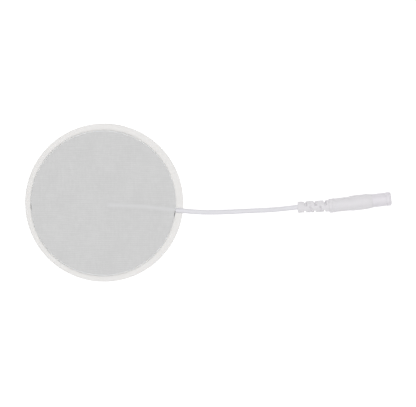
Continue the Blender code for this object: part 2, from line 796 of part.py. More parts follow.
def main():
    for old in list(bpy.data.objects):
        bpy.data.objects.remove(old, do_unlink=True)
    make_collection(OBJECT_NAME)
    make_collection("cutters")

    foam = make_material("foam_white", (0.80, 0.79, 0.77), 0.8)
    carbon = make_material("carbon_black", (0.012, 0.012, 0.013), 0.55)
    gel = make_material("gel_clear", (0.66, 0.67, 0.66), 0.2, transmission=0.4)
    scrim = make_material("scrim_grey", (0.62, 0.62, 0.62), 0.85)
    jacket = make_material("lead_white", (0.77, 0.76, 0.79), 0.45)
    moulding = make_material("plug_white", (0.75, 0.74, 0.77), 0.4)
    sleeve = make_material("sleeve_white", (0.77, 0.76, 0.78), 0.3)
    plated = make_material("nickel_plate", (0.60, 0.58, 0.54), 0.25, metallic=1.0)
    tinned = make_material("tinned_copper", (0.66, 0.63, 0.60), 0.35, metallic=1.0)

    route = stretched(lead_points(), STRAND_BUNDLE_LENGTH + STRAND_RISE, FIT_GAP)
    shape = tube_mesh("lead_channel", route, CHANNEL_RADIUS, CHANNEL_STEPS)
    channel = add_helper("lead_channel", shape)
    relief_frame = add_frame("relief_frame", relief_start(), RELIEF_ANGLE)
    body_frame = add_frame("body_frame", body_start(), BODY_ANGLE)

    make_backing(foam, channel)
    make_layers(carbon, gel, scrim)
    make_lead(jacket)
    make_strands(tinned)
    make_overmould(moulding, body_frame, relief_frame, channel)
    make_sleeve(sleeve, body_frame)
    make_socket(plated, body_frame)
    make_conductor_tail(tinned, body_frame)


main()
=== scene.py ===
import math

import bpy
import numpy as np
from mathutils import Euler, Matrix, Vector, noise


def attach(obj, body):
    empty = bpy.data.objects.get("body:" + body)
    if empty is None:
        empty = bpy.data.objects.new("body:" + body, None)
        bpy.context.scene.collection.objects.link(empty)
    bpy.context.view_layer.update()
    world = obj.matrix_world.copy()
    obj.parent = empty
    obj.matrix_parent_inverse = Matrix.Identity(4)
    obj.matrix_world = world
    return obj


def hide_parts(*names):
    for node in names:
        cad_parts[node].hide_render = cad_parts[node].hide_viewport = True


# Round electrode pad, skin face up, with its lead and moulded plug, on a white table.
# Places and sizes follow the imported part. The pieces here are finer ones at the same places:
# foam, film, gel and woven face, the lead, and the plug's three pieces.

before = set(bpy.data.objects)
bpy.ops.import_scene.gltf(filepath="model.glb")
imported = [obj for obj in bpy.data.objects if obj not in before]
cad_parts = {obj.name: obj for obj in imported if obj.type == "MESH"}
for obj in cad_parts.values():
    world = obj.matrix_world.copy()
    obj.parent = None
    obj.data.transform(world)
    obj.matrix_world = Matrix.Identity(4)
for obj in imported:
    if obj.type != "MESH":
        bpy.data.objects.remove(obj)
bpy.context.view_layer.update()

MM = 0.001
MERGE_DISTANCE = 0.0005 * MM

# A face looks along an axis where its normal's share of it is above this
FACING = 0.9

# Sides of the turned pieces
PAD_SIDES = 360
PLUG_SIDES = 144
RELIEF_SIDES = 120
SPINE_SIDES = 96
SOCKET_SIDES = 96

# Layers of the pad, from the foam up
FOAM_RADIUS = 25.0 * MM
FOAM_TOP = 1.6 * MM
FOAM_ROUND = 0.45 * MM
FOAM_FOOT_ROUND = 0.15 * MM
FACE_RADIUS = 23.0 * MM
FACE_MIDDLE = (-0.29 * MM, -0.15 * MM)
GLUE_LINE = 0.05 * MM
FILM_THICKNESS = 0.12 * MM
FILM_INSET = 0.04 * MM
GEL_THICKNESS = 0.75 * MM
SCRIM_THICKNESS = 0.15 * MM
SCRIM_RADIUS = 22.85 * MM
SCRIM_TRIM = 0.25 * MM
FILM_UNDER = FOAM_TOP + GLUE_LINE
GEL_UNDER = FILM_UNDER + FILM_THICKNESS + GLUE_LINE
SCRIM_UNDER = GEL_UNDER + GEL_THICKNESS + GLUE_LINE

# Slabs that the layers are cut from, a little wider than the layers, and the cells of their grids
SLAB_SIZE = 2 * FACE_RADIUS + 0.6 * MM
SLAB_CELLS = 76
SCRIM_CELLS = 294

# Rims of the layers from the bottom up, as insets in mm at shares of the thickness. The gel's
# sags outward low down, so that a pale line of it shows round the woven face.
FILM_RIM = [(0.02, 0.0), (0.0, 0.3), (0.0, 0.7), (0.02, 1.0)]
GEL_RIM = [
    (0.12, 0.0), (0.04, 0.08), (0.0, 0.2), (0.0, 0.3), (0.05, 0.5), (0.14, 0.68),
    (0.26, 0.82), (0.38, 0.92), (0.52, 1.0),
]
SCRIM_RIM = [(0.04, 0.0), (0.0, 0.3), (0.0, 0.6), (0.05, 1.0)]

# Places where the edge of gel and face is drawn in: angle in degrees, depth and half width,
# and how far in from the edge the layer follows
NOTCHES = [(183.2, 0.25 * MM, 1.8 * MM), (-8.6, 0.25 * MM, 1.7 * MM)]
NOTCH_BAND = 1.5 * MM

# Weave: its drawn threads, how much of their height the ribs and the crossings give, and the
# slow and quick waves that the threads wander in, with the waves' sizes along X and Y and
# their reach in shares of the spacing
THREAD_SPACING = 0.63 * MM
THREAD_RELIEF = 0.02 * MM
RIB_SHARE = 0.4
CROSSING_SHARE = 0.1
SLOW_WAVE = (5.3 * MM, 7.1 * MM)
SLOW_START = 1.3
SLOW_REACH = 0.12
QUICK_WAVE = (1.9 * MM, 2.7 * MM)
QUICK_BEND = 2.1
QUICK_REACH = 0.16

# Lead: places of its middle in mm, first under the film and then with its lift off the table
LEAD_RADIUS = 0.75 * MM
LEAD_SINK = 1.0 * MM
LEAD_BED = FOAM_TOP - LEAD_SINK + LEAD_RADIUS
UNDER_FILM = [(1.75, -0.73), (7.6, -1.0), (13.4, -1.3), (18.0, -1.86), (22.6, -2.4), (24.9, -2.58)]
ON_TABLE = [
    (27.4, -2.79, 0.44), (29.9, -2.98, 0.24), (33.0, -3.07, 0.08), (37.5, -2.98, 0.02),
    (42.5, -2.78, 0.05), (47.6, -2.54, 0.24), (52.0, -2.32, 0.64), (55.6, -2.05, 1.1),
    (58.8, -1.7, 1.48),
]
LEAD_STEP = 0.6 * MM

# Folds of the layers over the lead, as height and half width, with a nose before its end, and
# the painted highlight along the ridge's crest, as strength and half width
FILM_FOLD = (2 * LEAD_RADIUS - LEAD_SINK, 1.8 * MM)
FACE_FOLD = (0.35 * MM, 2.2 * MM)
FOLD_NOSE = 2.2 * MM
RIDGE_HIGHLIGHT = (1.0, 1.0 * MM)

# Strips of the woven face's plain back: how many on each side of the lead, and the places of
# the cuts across it, from the nose along the lead
BACK_STRIPS = 4
BACK_CUTS = (0.0, 0.7 * MM, 1.4 * MM, 2.2 * MM, 8.0 * MM, 14.0 * MM, 19.0 * MM)

# Foam: the lead's channel, the dip beside it in the open rim, the waves of a sliced sheet, and
# the rings that let the wall and the top follow them, from the hub of the underside
CHANNEL_GAP = 0.02 * MM
CHANNEL_BACK = 3.0 * MM
DIP_DEPTH = 0.25 * MM
DIP_HALF_WIDTH = 2.3 * MM
DIP_START = 22.9 * MM
DIP_RUN_IN = 0.9 * MM
FOAM_WAVE = 3.5 * MM
FOAM_WAVE_HEIGHT = 0.012 * MM
FOAM_WAVES_FROM = 1.0 * MM
FOAM_HUB = 18.0 * MM
WALL_RINGS = (0.4 * MM, 0.65 * MM, 0.9 * MM)
FIRST_TOP_RING = 24.3 * MM
TOP_RING_SPACING = 0.3 * MM
TOP_RING_COUNT = 7

# Strain relief, from its free end to its seat in the plug's body. A hub is the flat middle
# that closes a turned piece's end.
RELIEF_ANGLE = math.radians(2.45)
RELIEF_LENGTH = 9.75 * MM
RELIEF_SPANS = 3
RELIEF_BACK = 0.15 * MM
RELIEF_RADIUS = 1.77 * MM
RELIEF_SEAT_RADIUS = 1.86 * MM
RELIEF_SEAT = 0.5 * MM
RELIEF_HUB = 1.0 * MM
RELIEF_ROUND = 0.3 * MM
END_GROOVE_PLACE = 1.3 * MM
END_GROOVE_HALF_WIDTH = 0.18 * MM
END_GROOVE_DEPTH = 0.08 * MM
SPINE_RADIUS = 1.2 * MM
SPINE_START = 0.4 * MM
SPINE_SEAT = 0.25 * MM
MOULDING_ROLL = math.radians(20.0)

# Slots of the relief, to the sides and to the faces by turns, and how soft their edges are
SLOT_COUNT = 5
FIRST_SLOT = 2.19 * MM
SLOT_SPACING = 1.554 * MM
SLOT_SURFACE = 1.82 * MM
SLOT_FLARE = 1.6
SIDE_SLOT = {
    "floor": 0.8 * MM, "width": 7.28 * MM, "length": 0.44 * MM, "lean": math.radians(9.0),
    "shift": 0.0, "turn": 0.0,
}
FACE_SLOT = {
    "floor": 1.3 * MM, "width": 1.7 * MM, "length": 0.3 * MM, "lean": math.radians(18.0),
    "shift": 0.3 * MM, "turn": math.pi / 2,
}
SLOT_EDGE_ROUND = 0.22 * MM
WEAR_VOXEL = 0.06 * MM
WEAR_PASSES = 8

# Plug's body, from the relief's seat to its front lip, as radii and places along it
BODY_ANGLE = math.radians(6.7)
FIT_GAP = 0.05 * MM
BODY_HUB = 1.2 * MM
COLLAR_RADIUS = 2.23 * MM
COLLAR_GROOVE_DEPTH = 0.12 * MM
COLLAR_GROOVE_SLOPE = 0.02 * MM
WAIST_GROOVE_SLOPE = 0.03 * MM
FIRST_BEAD_END = 1.05 * MM
SECOND_BEAD_START = 1.25 * MM
COLLAR_END = 1.95 * MM
WAIST_START = 2.15 * MM
WAIST_RADIUS = 2.16 * MM
RAMP_START = 6.45 * MM
RAMP_FOOT_RADIUS = 2.21 * MM
GRIP_START = 7.35 * MM
GRIP_END = 12.25 * MM
GRIP_RADIUS = 2.4 * MM
GRIP_EDGE = 0.22 * MM
GRIP_EDGE_DROP = 0.06 * MM
BODY_FRONT = 13.7 * MM
LIP_RADIUS = 2.12 * MM
LIP_LENGTH = 0.04 * MM
LIP_TAPER = 0.005 * MM
BODY_ROUND = 0.22 * MM

# Front sleeve, with its tail in the body and its mouth at the front
SLEEVE_FRONT = 19.8 * MM
SLEEVE_RADIUS = 2.11 * MM
SLEEVE_BEAD_RADIUS = 2.17 * MM
SLEEVE_GROOVE_PLACE = 18.17 * MM
SLEEVE_GROOVE_HALF_WIDTH = 0.2 * MM
SLEEVE_GROOVE_HALF_FLOOR = 0.06 * MM
SLEEVE_GROOVE_DEPTH = 0.05 * MM
SLEEVE_NOSE_ROUND = 0.7 * MM
SLEEVE_TAIL_END = 8.9 * MM
SLEEVE_TAIL_RADIUS = 1.75 * MM
SLEEVE_EDGE_ROUND = 0.06 * MM
MOUTH_RADIUS = 1.15 * MM
MOUTH_CHAMFER = 0.3 * MM
MOUTH_DEPTH = 1.1 * MM

# Socket for a 2 mm pin, with its crimp barrel on the lead's bared end
SOCKET_RADIUS = 1.35 * MM
SOCKET_BORE_RADIUS = 1.03 * MM
SOCKET_BORE_END = 9.5 * MM
SOCKET_FRONT = SLEEVE_FRONT - MOUTH_DEPTH - FIT_GAP
SOCKET_LEAD_IN = 0.13 * MM
SOCKET_LEAD_IN_DEPTH = 0.32 * MM
SOCKET_EDGE_BREAK = 0.08 * MM
SOCKET_ROUND = 0.05 * MM
SLIT_WIDTH = 0.25 * MM
SLIT_LENGTH = 6.0 * MM
SLIT_OVERRUN = 0.05 * MM
CRIMP_RADIUS = 0.8 * MM
CRIMP_BORE_RADIUS = 0.38 * MM
CRIMP_BORE_END = 8.0 * MM
CRIMP_END = 4.7 * MM
CONDUCTOR_RADIUS = 0.31 * MM
JACKET_IN_BODY = 1.95 * MM

# Camera and studio: the camera is straight above from far off, as in the photograph
VIEW_MIDDLE = (32.85 * MM, -0.28 * MM)
CAMERA_HEIGHT = 2926.0 * MM
LENS = 800.0
SENSOR_WIDTH = 36.0
WHITE = (1.0, 1.0, 1.0, 1.0)
DOME_STRENGTH = 0.45
TABLE_SIZE = 3.0
TABLE_DROP = 0.02 * MM


def along(angle):
    return Vector((math.cos(angle), math.sin(angle), 0.0))


RELIEF_START = Vector((61.37 * MM, -1.46 * MM, GRIP_RADIUS))
BODY_START = RELIEF_START + RELIEF_LENGTH * along(RELIEF_ANGLE)


def plug_frame(place, angle):
    """Places a piece drawn along +Z so that it lies along the plug, its +X side down."""
    return Matrix.Translation(place) @ Euler((0.0, math.pi / 2, angle)).to_matrix().to_4x4()


# Modelling helpers


def select_only(piece):
    if bpy.context.mode != "OBJECT":
        bpy.ops.object.mode_set(mode="OBJECT")
    bpy.ops.object.select_all(action="DESELECT")
    if piece is not None:
        piece.select_set(True)
        bpy.context.view_layer.objects.active = piece


def edit_all(piece):
    select_only(piece)
    bpy.ops.object.mode_set(mode="EDIT")
    bpy.ops.mesh.select_mode(type="VERT")
    bpy.ops.mesh.select_all(action="SELECT")


def settle(piece, matrix=Matrix.Identity(4)):
    """Moves a finished shape to its place and leaves its object at the origin."""
    select_only(piece)
    piece.matrix_world = matrix @ piece.matrix_world
    bpy.ops.object.transform_apply(location=True, rotation=True, scale=True)


def close_mesh():
    """Merges doubles in the mesh being edited and turns its faces outward."""
    bpy.ops.mesh.select_all(action="SELECT")
    bpy.ops.mesh.remove_doubles(threshold=MERGE_DISTANCE)
    bpy.ops.mesh.normals_make_consistent(inside=False)


def apply_modifier(piece, kind, **settings):
    select_only(piece)
    modifier = piece.modifiers.new(kind.title(), kind)
    for name, value in settings.items():
        setattr(modifier, name, value)
    bpy.ops.object.modifier_apply(modifier=modifier.name)


def combine(piece, other, operation):
    apply_modifier(piece, "BOOLEAN", operation=operation, solver="MANIFOLD", object=other)
    bpy.data.objects.remove(other)


def turned(name, profile, sides, open_middle=False):
    """Draws a turned solid ring by ring, from its (radius, height) profile."""
    select_only(None)
    radius, height = profile[0]
    fill = "NOTHING" if open_middle else "NGON"
    bpy.ops.mesh.primitive_circle_add(
        vertices=sides, radius=radius, location=(0, 0, height), fill_type=fill
    )
    piece = bpy.context.object
    piece.name = name
    edit_all(piece)
    for next_radius, next_height in profile[1:]:
        lift = {"value": (0, 0, next_height - height)}
        bpy.ops.mesh.extrude_region_move(TRANSFORM_OT_translate=lift)
        grow = next_radius / radius
        bpy.ops.transform.resize(value=(grow, grow, 1), center_override=(0, 0, next_height))
        radius, height = next_radius, next_height
    close_mesh()
    settle(piece)
    return piece


def arc(middle_radius, middle_height, radius, start, end, steps):
    """Points of a round in a profile, from one angle in degrees to another."""
    points = []
    for step in range(steps + 1):
        turn = math.radians(start + (end - start) * step / steps)
        height = middle_height + radius * math.sin(turn)
        points.append((middle_radius + radius * math.cos(turn), height))
    return points


def rounded(profile, radius, steps):
    """The same profile with each inner corner eased over up to this radius."""
    most_of_side = 0.45
    points = [Vector(point) for point in profile]
    eased = [points[0]]
    for before, corner, after in zip(points, points[1:], points[2:]):
        back = before - corner
        ahead = after - corner
        reach = min(radius, most_of_side * back.length, most_of_side * ahead.length)
        first = corner + reach * back.normalized()
        last = corner + reach * ahead.normalized()
        for step in range(steps + 1):
            t = step / steps
            eased.append((1 - t) ** 2 * first + 2 * t * (1 - t) * corner + t * t * last)
    eased.append(points[-1])
    return [tuple(point) for point in eased]


def smooth_by_angle(piece, degrees):
    select_only(piece)
    bpy.ops.object.shade_smooth_by_angle(angle=math.radians(degrees))


def read_points(piece):
    points = np.empty(len(piece.data.vertices) * 3, np.float32)
    piece.data.vertices.foreach_get("co", points)
    return points.reshape(-1, 3).astype(float)


def write_points(piece, points):
    piece.data.vertices.foreach_set("co", points.astype(np.float32).ravel())
    piece.data.update()


def write_attribute(piece, name, values):
    layer = piece.data.attributes.new(name, "FLOAT", "POINT")
    layer.data.foreach_set("value", values.astype(np.float32))


# Materials. A pattern's scale is one over the real size that it is drawn at.


def paint(hex_colour):
    """sRGB hex to the linear red, green, blue and alpha that the shaders take."""
    channels = [int(hex_colour[i : i + 2], 16) / 255 for i in (1, 3, 5)]
    linear = [c / 12.92 if c <= 0.04045 else ((c + 0.055) / 1.055) ** 2.4 for c in channels]
    return (*linear, 1.0)


def add_node(tree, kind, settings=None, inputs=None):
    """Adds a node, sets its settings, and links or sets each named input."""
    node = tree.nodes.new(kind)
    for name, value in (settings or {}).items():
        setattr(node, name, value)
    for name, value in (inputs or {}).items():
        if isinstance(value, bpy.types.NodeSocket):
            tree.links.new(value, node.inputs[name])
        else:
            node.inputs[name].default_value = value
    return node


def new_finish(name, **constants):
    """A new material with its shader, whose constants are set on its own sockets."""
    material = bpy.data.materials.new(name)
    material.use_nodes = True
    tree = material.node_tree
    shader = tree.nodes["Principled BSDF"]
    for socket, value in constants.items():
        shader.inputs[socket.replace("_", " ")].default_value = value
    place = add_node(tree, "ShaderNodeTexCoord").outputs["Object"]
    return material, tree, shader, place


def dress(tree, shader, tint=None, rough=None, bump=None):
    """Gives the shader its colour, its roughness and its fine relief from patterns.

    tint is a pattern with the colours at its 0 and 1, rough a pattern with the roughness at
    its 0 and 1, and bump a pattern with the relief's strength and its depth in metres.
    """
    if tint:
        pattern, low, high = tint
        mixed = add_node(
            tree, "ShaderNodeMix", {"data_type": "RGBA"},
            {"Factor": pattern, "A": paint(low), "B": paint(high)},
        )
        tree.links.new(mixed.outputs["Result"], shader.inputs["Base Color"])
    if rough:
        pattern, low, high = rough
        spread = add_node(
            tree, "ShaderNodeMapRange", None, {"Value": pattern, "To Min": low, "To Max": high}
        )
        tree.links.new(spread.outputs["Result"], shader.inputs["Roughness"])
    if bump:
        pattern, strength, depth = bump
        relief = add_node(
            tree, "ShaderNodeBump", None,
            {"Strength": strength, "Distance": depth, "Height": pattern},
        )
        tree.links.new(relief.outputs["Normal"], shader.inputs["Normal"])


def foam_finish():
    """Closed-cell polyethylene foam, sliced from a block: matt, with fine shallow cells."""
    material, tree, shader, place = new_finish(
        "closed_cell_polyethylene_foam", IOR=1.5, Subsurface_Weight=0.12,
        Subsurface_Scale=0.6 * MM, Subsurface_Radius=(1.0, 0.95, 0.9),
    )
    # The cut cells give the face its fine orange-peel look, and clouds of denser foam its tone
    cell_size = 0.351 * MM
    cloud_size = 3.85 * MM
    cells = add_node(
        tree, "ShaderNodeTexVoronoi", None, {"Vector": place, "Scale": 1.0 / cell_size}
    ).outputs["Distance"]
    cloud = add_node(
        tree, "ShaderNodeTexNoise", None,
        {"Vector": place, "Scale": 1.0 / cloud_size, "Detail": 3.0},
    ).outputs["Fac"]
    dress(
        tree, shader, tint=(cloud, "#e5e4e2", "#e9e7e6"), rough=(cells, 0.72, 0.9),
        bump=(cells, 0.35, 0.04 * MM),
    )
    return material


def film_finish():
    """Carbon-loaded vinyl film, calendered: satin black with a faint grain."""
    material, tree, shader, place = new_finish("calendered_carbon_vinyl", IOR=1.54)
    grain_size = 0.25 * MM
    grain = add_node(
        tree, "ShaderNodeTexNoise", None,
        {"Vector": place, "Scale": 1.0 / grain_size, "Detail": 2.0},
    ).outputs["Fac"]
    dress(
        tree, shader, tint=(grain, "#17171a", "#222225"), rough=(grain, 0.4, 0.6),
        bump=(grain, 0.3, 0.01 * MM),
    )
    return material


def gel_finish():
    """Cast hydrogel sheet: milky, half translucent, with a wet sheen on its cut edge."""
    material, tree, shader, place = new_finish(
        "cast_hydrogel", IOR=1.37, Transmission_Weight=0.05, Subsurface_Weight=0.4,
        Subsurface_Scale=0.4 * MM, Subsurface_Radius=(0.9, 0.95, 1.0),
    )
    milk_size = 1.43 * MM
    milk = add_node(
        tree, "ShaderNodeTexNoise", None,
        {"Vector": place, "Scale": 1.0 / milk_size, "Detail": 3.0},
    ).outputs["Fac"]
    dress(
        tree, shader, tint=(milk, "#e9eaea", "#f2f3f3"), rough=(milk, 0.1, 0.26),
        bump=(milk, 0.4, 0.03 * MM),
    )
    return material


def scrim_finish():
    """Plain-woven polyester scrim, wetted out with gel: neutral grey, fine crosswise ribs."""
    material, tree, shader, place = new_finish(
        "woven_polyester_scrim", IOR=1.5, Sheen_Weight=0.1, Sheen_Roughness=0.5
    )
    # The ribs are in the mesh, and in its attribute: 0 in the gaps and 1 on the ribs
    thread = add_node(tree, "ShaderNodeAttribute", {"attribute_name": "thread_height"})
    # The painted highlight along the crest of the ridge over the lead
    highlight_mask = add_node(tree, "ShaderNodeAttribute", {"attribute_name": "ridge_crest_highlight"})
    # Fine threads half a period apart inside each drawn rib, over and under by turns, seen only
    # close by. A wave texture's period is pi / 10 over its scale.
    fine_period = 0.36 * MM
    fine_share = 0.6
    bands = {"Vector": place, "Scale": math.pi / 10 / fine_period, "Distortion": 0.6}
    warp = add_node(tree, "ShaderNodeTexWave", {"bands_direction": "X"}, bands)
    weft = add_node(tree, "ShaderNodeTexWave", {"bands_direction": "Y"}, bands)
    under = add_node(
        tree, "ShaderNodeMath", {"operation": "SUBTRACT"}, {0: 1.0, 1: warp.outputs["Fac"]}
    )
    crossed = add_node(
        tree, "ShaderNodeMix", {"data_type": "FLOAT"},
        {"Factor": weft.outputs["Fac"], "A": warp.outputs["Fac"], "B": under.outputs["Value"]},
    )
    both = add_node(
        tree, "ShaderNodeMath", {"operation": "MULTIPLY_ADD"},
        {0: crossed.outputs["Result"], 1: fine_share, 2: thread.outputs["Fac"]},
    )
    # Painted shade: the weave is lighter where its threads stand high and darker in the gaps and
    # where a thread passes under
    thread_height_shade = add_node(
        tree, "ShaderNodeMapRange", None,
        {"Value": both.outputs["Value"], "From Min": 0.3, "From Max": 1.3},
    )
    weave = add_node(
        tree, "ShaderNodeMix", {"data_type": "RGBA"},
        {"Factor": thread_height_shade.outputs["Result"], "A": paint("#cbcbcb"), "B": paint("#d2d2d2")},
    )
    # Gel soaked in unevenly, and slubs 0.6 mm thick and 3 mm long, both ways of the cloth
    cloud_size = 5.55 * MM
    slub_size = 0.91 * MM
    uneven = add_node(
        tree, "ShaderNodeTexNoise", None,
        {"Vector": place, "Scale": 1.0 / cloud_size, "Detail": 4.0},
    ).outputs["Fac"]
    for stretch in ((0.3, 1.5, 1.0), (1.5, 0.3, 1.0)):
        drawn = add_node(tree, "ShaderNodeMapping", None, {"Vector": place, "Scale": stretch})
        slub = add_node(
            tree, "ShaderNodeTexNoise", None,
            {"Vector": drawn.outputs["Vector"], "Scale": 1.0 / slub_size, "Detail": 1.0},
        )
        uneven = add_node(
            tree, "ShaderNodeMath", {"operation": "ADD"}, {0: uneven, 1: slub.outputs["Fac"]}
        ).outputs["Value"]
    soaked = add_node(
        tree, "ShaderNodeMapRange", None,
        {"Value": uneven, "From Min": 1.2, "From Max": 1.8, "To Max": 0.3},
    )
    cloudy = add_node(
        tree, "ShaderNodeMix", {"data_type": "RGBA"},
        {"Factor": soaked.outputs["Result"], "A": weave.outputs["Result"], "B": paint("#bcbcbc")},
    )
    # Painted highlight: a paler stripe along the crest of the cloth's ridge over the lead
    lit = add_node(
        tree, "ShaderNodeMix", {"data_type": "RGBA"},
        {"Factor": highlight_mask.outputs["Fac"], "A": cloudy.outputs["Result"], "B": paint("#d1d1d2")},
    )
    tree.links.new(lit.outputs["Result"], shader.inputs["Base Color"])
    # Filaments four times as long as thick, drawn coarse because the real ones don't show
    filament_size = 0.1205 * MM
    filament_share = 0.4
    drawn = add_node(
        tree, "ShaderNodeMapping", None, {"Vector": place, "Scale": (0.25, 1.0, 1.0)}
    )
    filament = add_node(
        tree, "ShaderNodeTexNoise", None,
        {"Vector": drawn.outputs["Vector"], "Scale": 1.0 / filament_size, "Detail": 1.0},
    )
    height = add_node(
        tree, "ShaderNodeMath", {"operation": "MULTIPLY_ADD"},
        {0: filament.outputs["Fac"], 1: filament_share, 2: crossed.outputs["Result"]},
    )
    dress(
        tree, shader, rough=(thread.outputs["Fac"], 0.62, 0.82),
        bump=(height.outputs["Value"], 0.5, 0.02 * MM),
    )
    return material


def plastic_finish(name, light, dark, rough_low, rough_high, grain_size, depth):
    """White PVC or polypropylene: satin, with light that goes a little way in, faint grain."""
    material, tree, shader, place = new_finish(
        name, IOR=1.53, Subsurface_Weight=0.15, Subsurface_Scale=0.5 * MM,
        Subsurface_Radius=(1.0, 0.95, 1.0),
    )
    cloud_size = 2.38 * MM
    grain = add_node(
        tree, "ShaderNodeTexNoise", None,
        {"Vector": place, "Scale": 1.0 / grain_size, "Detail": 2.0},
    ).outputs["Fac"]
    cloud = add_node(
        tree, "ShaderNodeTexNoise", None,
        {"Vector": place, "Scale": 1.0 / cloud_size, "Detail": 2.0},
    ).outputs["Fac"]
    dress(
        tree, shader, tint=(cloud, dark, light), rough=(cloud, rough_low, rough_high),
        bump=(grain, 0.3, depth),
    )
    return material


def metal_finish(name, light, dark, rough_low, rough_high, line_spacing):
    """Plated metal: fine lines round the plug's axis, brighter and duller by turns."""
    material, tree, shader, place = new_finish(name, Metallic=1.0)
    turn = add_node(
        tree, "ShaderNodeMapping", {"vector_type": "TEXTURE"},
        {"Vector": place, "Rotation": (0.0, 0.0, BODY_ANGLE)},
    )
    split = add_node(tree, "ShaderNodeSeparateXYZ", None, {"Vector": turn.outputs["Vector"]})
    lines = add_node(
        tree, "ShaderNodeTexNoise", {"noise_dimensions": "1D"},
        {"W": split.outputs["X"], "Scale": 1.0 / line_spacing, "Detail": 2.0},
    ).outputs["Fac"]
    dress(tree, shader, tint=(lines, dark, light), rough=(lines, rough_low, rough_high))
    return material


def paper_finish():
    """White seamless paper that glows a little, so that it stays white round the pad."""
    material, tree, shader, place = new_finish(
        "white_seamless_paper", Roughness=0.95, Emission_Color=WHITE, Emission_Strength=0.85
    )
    fibre_size = 1.11 * MM
    fibre = add_node(
        tree, "ShaderNodeTexNoise", None,
        {"Vector": place, "Scale": 1.0 / fibre_size, "Detail": 3.0},
    ).outputs["Fac"]
    dress(tree, shader, tint=(fibre, "#949494", "#989898"))
    return material


# Camera, light and table


def add_camera():
    """The picture takes in 131.7 mm of the table."""
    camera = bpy.data.objects.new("camera", bpy.data.cameras.new("camera"))
    bpy.context.scene.collection.objects.link(camera)
    camera.data.lens = LENS
    camera.data.sensor_width = SENSOR_WIDTH
    camera.data.clip_start = 0.05
    camera.location = (*VIEW_MIDDLE, CAMERA_HEIGHT)
    bpy.context.scene.camera = camera


def add_softbox(name, place, target, size, power):
    light = bpy.data.lights.new(name, "AREA")
    light.shape = "RECTANGLE"
    light.size, light.size_y = size
    light.energy = power
    box = bpy.data.objects.new(name, light)
    bpy.context.scene.collection.objects.link(box)
    box.location = place
    direction = Vector(target) - box.location
    box.rotation_euler = direction.to_track_quat("-Z", "Y").to_euler()


def add_studio():
    scene = bpy.context.scene
    scene.view_settings.view_transform = "Standard"
    world = bpy.data.worlds.new("studio_dome")
    world.use_nodes = True
    dome = world.node_tree.nodes["Background"]
    dome.inputs["Color"].default_value = WHITE
    dome.inputs["Strength"].default_value = DOME_STRENGTH
    scene.world = world
    add_softbox(
        "overhead_softbox", place=(0.04, 0.0, 0.85), target=(0.03, 0.0, 0.0),
        size=(1.7, 0.22), power=6.4,
    )
    select_only(None)
    # A hair under the foam, so that the two faces don't fight where they meet
    bpy.ops.mesh.primitive_grid_add(
        x_subdivisions=8, y_subdivisions=8, size=TABLE_SIZE, location=(0, 0, -TABLE_DROP)
    )
    table = bpy.context.object
    table.name = "table"
    table.data.materials.append(paper_finish())


# Lead


def smooth_route(places, step):
    """Points about one step apart on a smooth curve through the places."""
    spans = [(b - a).length for a, b in zip(places, places[1:])]
    slopes = [(places[1] - places[0]) / spans[0]]
    for i in range(1, len(places) - 1):
        slopes.append((places[i + 1] - places[i - 1]) / (spans[i - 1] + spans[i]))
    slopes.append((places[-1] - places[-2]) / spans[-1])
    points = [places[0]]
    for i, span in enumerate(spans):
        parts = max(1, round(span / step))
        for part in range(1, parts + 1):
            t = part / parts
            points.append(
                (2 * t**3 - 3 * t**2 + 1) * places[i]
                + (t**3 - 2 * t**2 + t) * span * slopes[i]
                + (3 * t**2 - 2 * t**3) * places[i + 1]
                + (t**3 - t**2) * span * slopes[i + 1]
            )
    return points


def lead_route():
    """From the lead's end under the film, over the foam's rim and the table, into the plug."""
    places = [Vector((x * MM, y * MM, LEAD_BED)) for x, y in UNDER_FILM]
    places += [Vector((x * MM, y * MM, lift * MM + LEAD_RADIUS)) for x, y, lift in ON_TABLE]
    for span in range(RELIEF_SPANS + 1):
        places.append(RELIEF_START + RELIEF_LENGTH * span / RELIEF_SPANS * along(RELIEF_ANGLE))
    places.append(BODY_START + JACKET_IN_BODY * along(BODY_ANGLE))
    return smooth_route(places, LEAD_STEP)


ROUTE = lead_route()
ROUTE_X = np.array([point.x for point in ROUTE])
ROUTE_Y = np.array([point.y for point in ROUTE])


def tube(name, points, radius, bevel_steps):
    curve = bpy.data.curves.new(name, "CURVE")
    curve.dimensions = "3D"
    curve.bevel_depth = radius
    curve.bevel_resolution = bevel_steps
    curve.use_fill_caps = True
    spline = curve.splines.new("POLY")
    spline.points.add(len(points) - 1)
    for knot, place in zip(spline.points, points):
        knot.co = (*place, 1.0)
    piece = bpy.data.objects.new(name, curve)
    bpy.context.scene.collection.objects.link(piece)
    return piece


def make_lead():
    return tube("lead_jacket", ROUTE, LEAD_RADIUS, bevel_steps=10)


# Pad


def beside_lead(x, y):
    """How far each point lies across from the lead's middle."""
    return np.abs(y - np.interp(x, ROUTE_X, ROUTE_Y))


def ease(share):
    """0 up to a share of 0 and 1 from a share of 1, with a smooth rise between."""
    share = np.clip(share, 0.0, 1.0)
    return share**2 * (3 - 2 * share)


def swell(distance, half_width):
    """1 at no distance, falling smoothly to 0 at the half width."""
    return (1 + np.cos(np.pi * np.minimum(distance / half_width, 1.0))) / 2


def fold(x, y, size):
    """Height of a layer's fold over the lead, from a nose in front of the lead's end."""
    height, half_width = size
    rise = (x - (ROUTE_X[0] - FOLD_NOSE)) / FOLD_NOSE
    return height * ease(rise) * swell(beside_lead(x, y), half_width)


